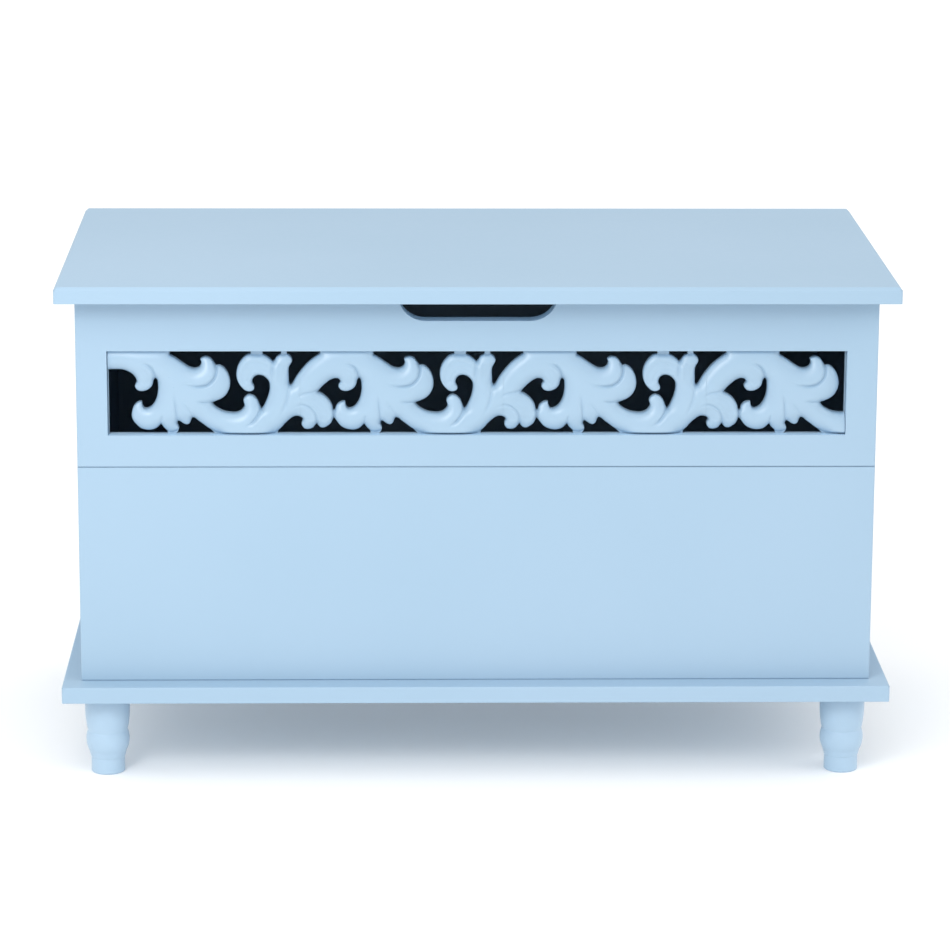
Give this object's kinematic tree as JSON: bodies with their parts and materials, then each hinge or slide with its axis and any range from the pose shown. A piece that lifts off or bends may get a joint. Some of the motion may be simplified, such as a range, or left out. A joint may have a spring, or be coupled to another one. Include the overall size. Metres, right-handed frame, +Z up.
{
  "type": "storage chest",
  "caption": "Painted storage chest on turned feet, with a hinged overhanging lid, a finger notch and a carved openwork scroll panel across the front.",
  "frame": {"origin": "on the floor, under the middle of the lid", "axes": "+X to the chest's right as seen from the front, +Y from the front to the back, +Z up"},
  "size_m": [0.76, 0.42, 0.465],
  "materials": {
    "painted_board": "satin pale blue paint on board",
    "carved_panel": "satin pale blue paint on carved board",
    "turned_foot": "satin pale blue paint on turned wood",
    "hinge_steel": "zinc-plated steel",
    "screw_steel": "zinc-plated steel",
    "insert_brass": "bare brass",
    "cam_metal": "dull die-cast zinc",
    "bare_wood": "bare beech"
  },
  "bodies": {
    "chest": {"base_board": "painted_board", "front_lower_panel": "painted_board", "front_frame": "painted_board", "fretwork_panel": "carved_panel", "left_side_panel": "painted_board", "right_side_panel": "painted_board", "back_panel": "painted_board", "front_left_leg": "turned_foot", "front_right_leg": "turned_foot", "rear_left_leg": "turned_foot", "rear_right_leg": "turned_foot", "left_hinge_body_leaf": "hinge_steel", "right_hinge_body_leaf": "hinge_steel", "left_hinge_pin": "hinge_steel", "right_hinge_pin": "hinge_steel", "hinge_body_screws": "screw_steel", "base_screws": "screw_steel", "fretwork_screws": "screw_steel", "cam_studs": "screw_steel", "cam_housings": "cam_metal", "panel_dowels": "bare_wood", "leg_bolts": "screw_steel", "threaded_inserts": "insert_brass"},
    "lid": {"lid_panel": "painted_board", "left_hinge_lid_leaf": "hinge_steel", "right_hinge_lid_leaf": "hinge_steel", "hinge_lid_screws": "screw_steel"}
  },
  "joints": [
    {"name": "lid_hinge", "type": "hinge", "parent": "chest", "child": "lid", "pos_m": [0, 0.1931, 0.44975], "axis": [-1, 0, 0], "range_deg": [0, 100]}
  ]
}
